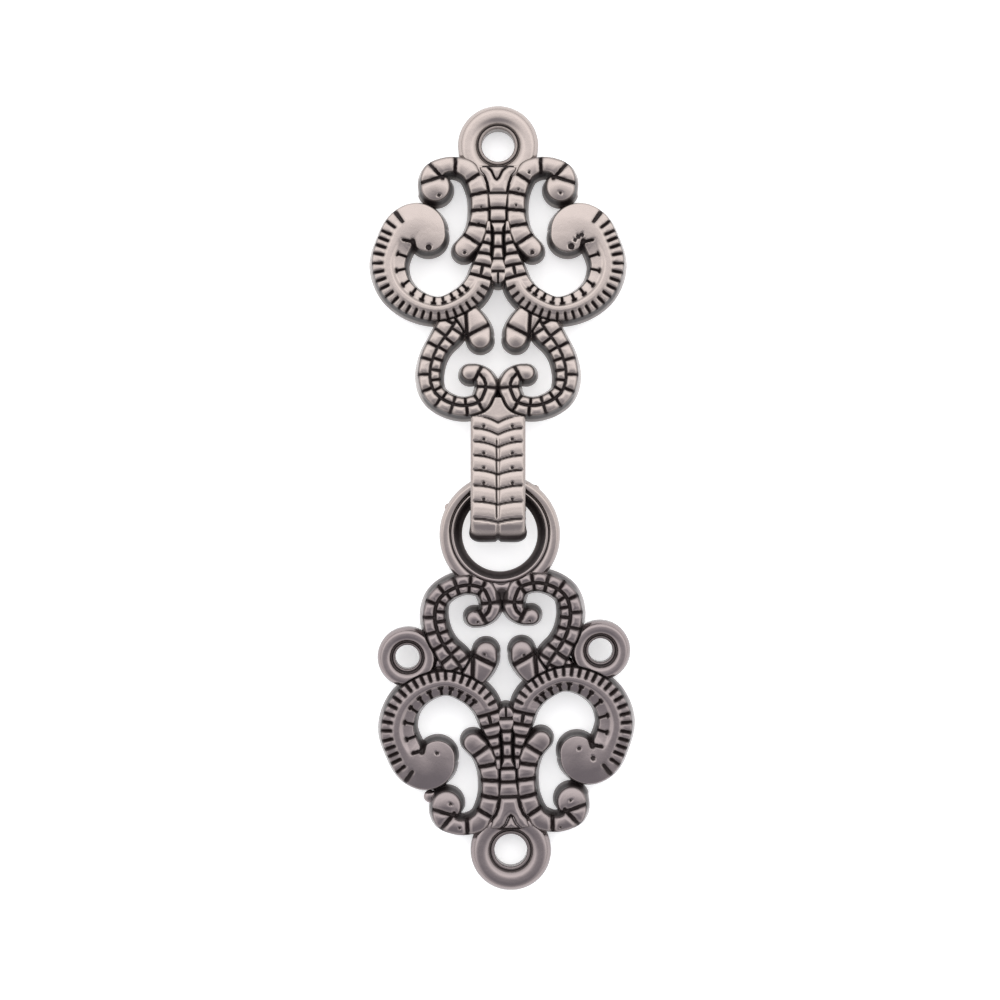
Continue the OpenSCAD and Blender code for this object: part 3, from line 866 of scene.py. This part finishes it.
def finish_piece(name, mesh, matrix, material, node):
    """Sets a finished casting on the frame in place of its CAD node."""
    bm = bmesh.new()
    bm.from_mesh(mesh)
    # The joins can leave pairs of faces that only back each other and enclose nothing
    stray = [f for f in bm.faces if len({near for edge in f.edges for near in edge.link_faces}) == 2]
    bmesh.ops.delete(bm, geom=stray, context="FACES")
    bm.to_mesh(mesh)
    bm.free()
    mesh.transform(matrix)
    mesh.name = name
    mesh.shade_smooth()
    mesh.set_sharp_from_angle(angle=math.radians(50))
    mesh.materials.clear()
    mesh.materials.append(material)
    piece = bpy.data.objects.new(name, mesh)
    bpy.context.scene.collection.objects.link(piece)
    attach(piece, "root")
    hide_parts(node)


class Flow:
    """A socket of one material, worked on with Python's own operators; every result is a Math node."""

    def __init__(self, paint, socket):
        """Keeps the material's builder and the socket."""
        self.paint, self.socket = paint, socket

    def maths(self, operation, *values):
        """One Math node on the values, as a new flow."""
        return self.paint.node("Math", {"operation": operation}, *values)

    def __add__(self, other):
        return self.maths("ADD", self, other)

    def __sub__(self, other):
        return self.maths("SUBTRACT", self, other)

    def __rsub__(self, other):
        return self.maths("SUBTRACT", other, self)

    def __mul__(self, other):
        return self.maths("MULTIPLY", self, other)

    __radd__, __rmul__ = __add__, __mul__

    def clipped(self):
        """The value held between 0 and 1."""
        return self.paint.node("Clamp", {}, self)


class Paint:
    """Builds the nodes of one material or of the world."""

    def __init__(self, owner):
        """Clears the owner's nodes."""
        owner.use_nodes = True
        self.tree = owner.node_tree
        self.tree.nodes.clear()

    def node(self, kind, settings, *values, output=0, **named):
        """Adds a node of a kind, sets its settings, then gives its sockets values or links."""
        made = self.tree.nodes.new("ShaderNode" + kind)
        for name, value in settings.items():
            if name == "stops":
                self.set_stops(made.color_ramp, value)
            else:
                setattr(made, name, value)
        for key, value in [*enumerate(values), *named.items()]:
            socket = made.inputs[key.replace("_", " ") if isinstance(key, str) else key]
            if isinstance(value, Flow):
                self.tree.links.new(value.socket, socket)
            else:
                socket.default_value = value
        return Flow(self, made.outputs[output]) if made.outputs else made

    def set_stops(self, ramp, stops):
        """Gives a colour ramp its stops of (place, colour)."""
        while len(ramp.elements) < len(stops):
            ramp.elements.new(0.5)
        for element, (where, colour) in zip(ramp.elements, stops):
            element.position, element.color = where, colour

    def mix(self, factor, first, second):
        """A colour between two colours."""
        made = self.tree.nodes.new("ShaderNodeMix")
        made.data_type = "RGBA"
        for key, value in ((0, factor), (6, first), (7, second)):
            if isinstance(value, Flow):
                self.tree.links.new(value.socket, made.inputs[key])
            else:
                made.inputs[key].default_value = value
        return Flow(self, made.outputs[2])


def gunmetal(name, finish):
    """Gunmetal plating over a casting: glossy on what stands proud, dark patina where the grooves are cut,
    painted shade where the mask carries it on walls, edges and hollows, and plating that darkens towards the
    eye half as painted shade.
    """
    material = bpy.data.materials.new(name)
    paint = Paint(material)
    where = paint.node("TexCoord", {}, output="Object")
    # The patina mask also carries painted shade on walls, rounded edges, low hollows and the hook's bend
    mask = paint.node("Attribute", {"attribute_name": "patina"}, output="Fac")
    cloud = paint.node("TexNoise", {}, Vector=where, Scale=900.0, Detail=3.0, Roughness=0.6)
    grain = paint.node("TexNoise", {}, Vector=where, Scale=5200.0, Detail=2.0, Roughness=0.5)
    tone = (cloud * 0.9 + 0.05).clipped() * 0.14 + 0.86
    along_y = paint.node("SeparateXYZ", {}, where, output=1)
    # Painted shade: the plating turns into its darker copy along -Y, towards the eye half
    far = ((PAINTED_SHADE_START - along_y) * (1 / PAINTED_SHADE_BLEND)).clipped()
    plating = paint.mix(far, (*finish.plating, 1), (*finish.far_plating, 1))
    plating = paint.mix(1 - tone, plating, (0, 0, 0, 1))
    patina = (mask * 1.15 + (cloud - 0.5) * mask * 0.5).clipped()
    base = paint.mix(patina, plating, (*finish.patina, 1))
    rough = finish.roughness + grain * 0.08 + cloud * 0.06 + patina * 0.3
    bump = paint.node("Bump", {}, Height=grain * 0.3 + cloud, Strength=0.25, Distance=0.00006)
    shader = paint.node(
        "BsdfPrincipled", {}, Base_Color=base, Metallic=1 - patina * 0.8, Roughness=rough, Normal=bump,
        Specular_IOR_Level=0.2,
    )
    paint.node("OutputMaterial", {}, shader)
    return material


class ClaspFinish(bpy.types.PropertyGroup):
    """Colours and gloss of the plating."""

    plating: colour("Plating", "Colour of the gunmetal plating", (0.36, 0.311, 0.292))
    # Painted shade: a darker copy of the plating for the eye half, which lies in the shade
    far_plating: colour("Far plating", "Darker colour of the plating past the ring", (0.245, 0.209, 0.209))
    # Colour of the patina, also used as painted shade wherever the mask carries shade
    patina: colour("Patina", "Colour of the dark patina in the grooves", (0.021, 0.015, 0.015))
    roughness: FloatProperty(
        name="Roughness", description="Roughness of the plating", default=0.09, min=0, max=1, subtype="FACTOR"
    )


class ClaspStage(bpy.types.PropertyGroup):
    """The floor, the soft light and the camera."""

    floor_w: length("Floor width", "Width of the pale floor", 900)
    light: amount("Light", "Brightness of the soft light overhead", 2.3)
    shade: amount("Shade", "Brightness of the shade above the eye half", 0.62)
    glow: amount("Glow", "Light that the backlit floor gives off", 0.4)
    horizon: amount("Horizon", "Brightness of the light near the floor", 1.35)
    camera_z: length("Camera height", "Height of the camera above the floor", 242)
    view_w: length("View width", "Width of the picture at the face of the clasp", 77)
    view_x: length("View X", "Place of the camera across the clasp", -0.17)
    view_y: length("View Y", "Place of the camera along the clasp", -0.131)


class CLASP_OT_stage(bpy.types.Operator):
    """Makes the pale floor, the soft light and the camera"""

    bl_idname = "clasp.stage"
    bl_label = "Stage"

    def execute(self, context):
        """Builds the stage from its property group."""
        stage = context.scene.clasp_stage
        bm = bmesh.new()
        bmesh.ops.create_grid(bm, x_segments=1, y_segments=1, size=stage.floor_w / 2)
        mesh = mesh_of("floor", bm)
        floor = bpy.data.objects.new("floor", mesh)
        context.scene.collection.objects.link(floor)
        material = bpy.data.materials.new("white_card")
        paint = Paint(material)
        card = paint.node(
            "BsdfPrincipled", {}, Base_Color=(0.9, 0.9, 0.9, 1), Roughness=0.8,
            Emission_Color=(1, 1, 1, 1), Emission_Strength=stage.glow,
        )
        paint.node("OutputMaterial", {}, card)
        mesh.materials.append(material)
        self.light_up(context.scene, stage)
        self.set_camera(context.scene, stage)
        context.scene.view_settings.view_transform = "Standard"
        return {"FINISHED"}

    def light_up(self, scene, stage):
        """Soft light all round, with a shade above the eye half where the photographer stands."""
        world = bpy.data.worlds.new("studio")
        scene.world = world
        paint = Paint(world)
        black, white = (0, 0, 0, 1), (1, 1, 1, 1)
        way = paint.node("TexCoord", {}, output="Generated")
        lean = math.radians(SHADE_LEAN)
        shaded = (0, -math.sin(lean), math.cos(lean))
        near = paint.node("VectorMath", {"operation": "DOT_PRODUCT"}, way, shaded, output="Value")
        edge, core = (math.cos(math.radians(angle)) for angle in (SHADE_EDGE, SHADE_CORE))
        dim = paint.node("ValToRGB", {"stops": [(edge, black), (core, white)]}, near)
        height = paint.node("VectorMath", {"operation": "DOT_PRODUCT"}, way, (0, 0, 1), output="Value")
        rise = paint.node("ValToRGB", {"stops": [(0.15, black), (0.75, white)]}, height)
        light = paint.mix(rise, (stage.horizon,) * 3 + (1,), (stage.light,) * 3 + (1,))
        tint = paint.mix(dim, light, (stage.shade, stage.shade, 1.08 * stage.shade, 1))
        sky = paint.node("Background", {}, Color=tint, Strength=1.0)
        paint.node("OutputWorld", {}, sky)

    def set_camera(self, scene, stage):
        """A camera straight above the clasp, as in the photograph."""
        data = bpy.data.cameras.new("camera")
        data.sensor_width = 36
        data.lens = data.sensor_width * (stage.camera_z - FACE_Z) / stage.view_w
        data.clip_start, data.clip_end = 0.01, 10
        camera = bpy.data.objects.new("camera", data)
        camera.location = (stage.view_x, stage.view_y, stage.camera_z)
        scene.collection.objects.link(camera)
        scene.camera = camera


class CLASP_OT_hook_half(bpy.types.Operator):
    """Makes the hook half: scrollwork, sewing loop, strap, bend and tongue"""

    bl_idname = "clasp.hook_half"
    bl_label = "Hook half"

    def execute(self, context):
        """Builds the casting and sets it down by its end bore."""
        scene = context.scene
        sizes = sizes_of(scene.clasp_scroll, scene.clasp_loops, scene.clasp_hook)
        right = half_scroll(sizes)
        mount = MOUNTS["hook_end_bore"]
        bore_d = 2 * mount["dims"]["r_mm"]
        lip_r = bore_d / 2 + sizes.lip_w
        loop_y = sizes.scroll_h + sizes.hook_loop_set
        casting = fuse(
            "hook_casting", right, ("UNION", mirrored(right)),
            ("UNION", stem_shell(sizes, loop_y, lip_r)),
            ("UNION", hook_shell(sizes)),
            ("DIFFERENCE", bore_cutter(0, loop_y, lip_r)),
            ("UNION", moved(loop_shell(sizes.end_loop_d, bore_d, sizes.lip_w, sizes), 0, loop_y)),
            *[("UNION", burr(*row, sizes)) for row in HOOK_BURRS],
        )
        casting = pitted(casting, (*HOOK_PITS, *strap_pits(sizes)), sizes)
        matrix = place(mount, Vector((1, 0, 0)), (0, loop_y, sizes.loop_t / 2))
        plating = gunmetal("hook_plating", scene.clasp_finish)
        finish_piece("hook_casting", casting, matrix, plating, "hook_half")
        return {"FINISHED"}


class CLASP_OT_eye_half(bpy.types.Operator):
    """Makes the eye half: scrollwork, sewing loop, two side loops and the ring"""

    bl_idname = "clasp.eye_half"
    bl_label = "Eye half"

    def execute(self, context):
        """Builds the casting and sets it down by its bores."""
        scene = context.scene
        sizes = sizes_of(scene.clasp_scroll, scene.clasp_loops, scene.clasp_hook)
        sizes.pillow, sizes.crown, sizes.groove_w = sizes.eye_pillow, sizes.eye_crown, sizes.eye_groove_w
        right = half_scroll(sizes)
        names = ("eye_end_bore", "side_bore_left", "side_bore_right")
        mount, left_mount, right_mount = (MOUNTS[name] for name in names)
        span = Vector(left_mount["pos_m"]) - Vector(right_mount["pos_m"])
        loop_y = sizes.scroll_h + sizes.eye_loop_set
        matrix = place(mount, span, (0, loop_y, sizes.loop_t / 2))
        end_bore, side_bore = 2 * mount["dims"]["r_mm"], 2 * left_mount["dims"]["r_mm"]
        side_x, side_y, _ = matrix.inverted() @ Vector(left_mount["pos_m"])
        ring_y = -sizes.ring_d / 2 - sizes.ring_set
        lip_r, side_lip_r = end_bore / 2 + sizes.lip_w, side_bore / 2 + sizes.side_lip_w
        steps = [
            ("UNION", mirrored(right)),
            ("UNION", stem_shell(sizes, loop_y, lip_r)),
            ("UNION", eye_wedge_shell(sizes)),
            ("DIFFERENCE", bore_cutter(0, loop_y, lip_r)),
            ("DIFFERENCE", bore_cutter(0, ring_y, 0.4 * sizes.ring_d)),
        ]
        for x in (side_x, -side_x):
            side_loop = loop_shell(sizes.side_loop_d, side_bore, sizes.side_lip_w, sizes)
            steps.append(("DIFFERENCE", bore_cutter(x, side_y, side_lip_r)))
            steps.append(("UNION", tucked(side_loop, x, side_y, side_lip_r, sizes)))
        end_loop = loop_shell(sizes.end_loop_d, end_bore, sizes.lip_w, sizes)
        steps.append(("UNION", moved(end_loop, 0, loop_y)))
        steps.append(("UNION", moved(ring_shell(sizes), 0, ring_y)))
        steps += [("UNION", burr(*row, sizes)) for row in EYE_BURRS]
        casting = pitted(fuse("eye_casting", right, *steps), EYE_PITS, sizes)
        # Painted shade: the hollow is darkened as well as sunk
        casting = pitted(casting, EYE_HOLLOW, sizes, 0.25, 0.75)
        plating = gunmetal("eye_plating", scene.clasp_finish)
        finish_piece("eye_casting", casting, matrix, plating, "eye_half")
        return {"FINISHED"}


class CLASP_PT_sizes(bpy.types.Panel):
    """The clasp's sizes, its finish and its steps"""

    bl_idname = "CLASP_PT_sizes"
    bl_label = "Clasp"
    bl_space_type = "VIEW_3D"
    bl_region_type = "UI"
    bl_category = "Clasp"

    def draw(self, context):
        """Lists the groups of sizes and the operators."""
        for name in GROUPS:
            box = self.layout.box()
            group = getattr(context.scene, name)
            for prop in type(group).__annotations__:
                box.prop(group, prop)
        for step in STEPS:
            self.layout.operator(step.bl_idname)


GROUPS = {
    "clasp_scroll": ClaspScrollSizes,
    "clasp_loops": ClaspLoopSizes,
    "clasp_hook": ClaspHookSizes,
    "clasp_finish": ClaspFinish,
    "clasp_stage": ClaspStage,
}
STEPS = (CLASP_OT_stage, CLASP_OT_hook_half, CLASP_OT_eye_half)


def register():
    """Registers the sizes, the steps and the panel."""
    for cls in (*GROUPS.values(), *STEPS, CLASP_PT_sizes):
        bpy.utils.register_class(cls)
    for name, group in GROUPS.items():
        setattr(bpy.types.Scene, name, PointerProperty(type=group))


def unregister():
    """Takes everything back that register added."""
    for name in GROUPS:
        delattr(bpy.types.Scene, name)
    for cls in reversed((*GROUPS.values(), *STEPS, CLASP_PT_sizes)):
        bpy.utils.unregister_class(cls)


def main():
    register()
    bpy.ops.clasp.stage()
    bpy.ops.clasp.hook_half()
    bpy.ops.clasp.eye_half()


if __name__ == "__main__":
    main()
